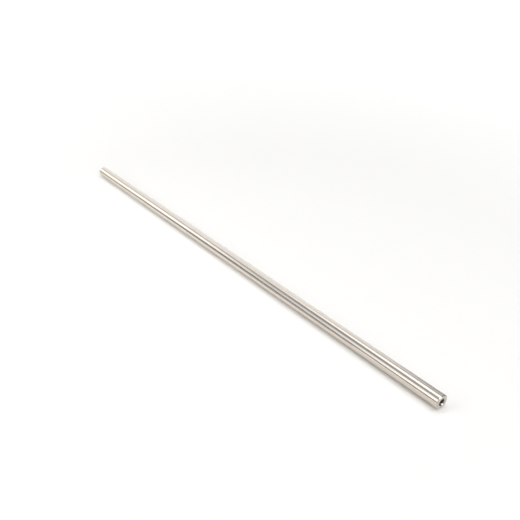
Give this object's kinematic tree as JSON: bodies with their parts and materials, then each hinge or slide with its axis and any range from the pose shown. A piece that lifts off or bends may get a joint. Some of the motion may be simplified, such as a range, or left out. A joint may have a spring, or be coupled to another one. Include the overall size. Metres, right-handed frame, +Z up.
{
  "type": "support rod",
  "caption": "Straight round steel support rod with chamfered ends and a tapped hole in its mounting end, for clamps and holders on a bench stand.",
  "frame": {"origin": "centre of the tapped end's face, on the axis of the bar", "axes": "+X along the axis of the bar, out of the tapped hole's mouth; the bar runs towards -X; +Z up, as the bar lies level"},
  "size_m": [0.6096, 0.0126, 0.0126],
  "materials": {
    "ground_steel": "centreless ground and lightly polished stainless steel, ends machined"
  },
  "bodies": {
    "root": {"support_rod": "ground_steel"}
  },
  "joints": []
}
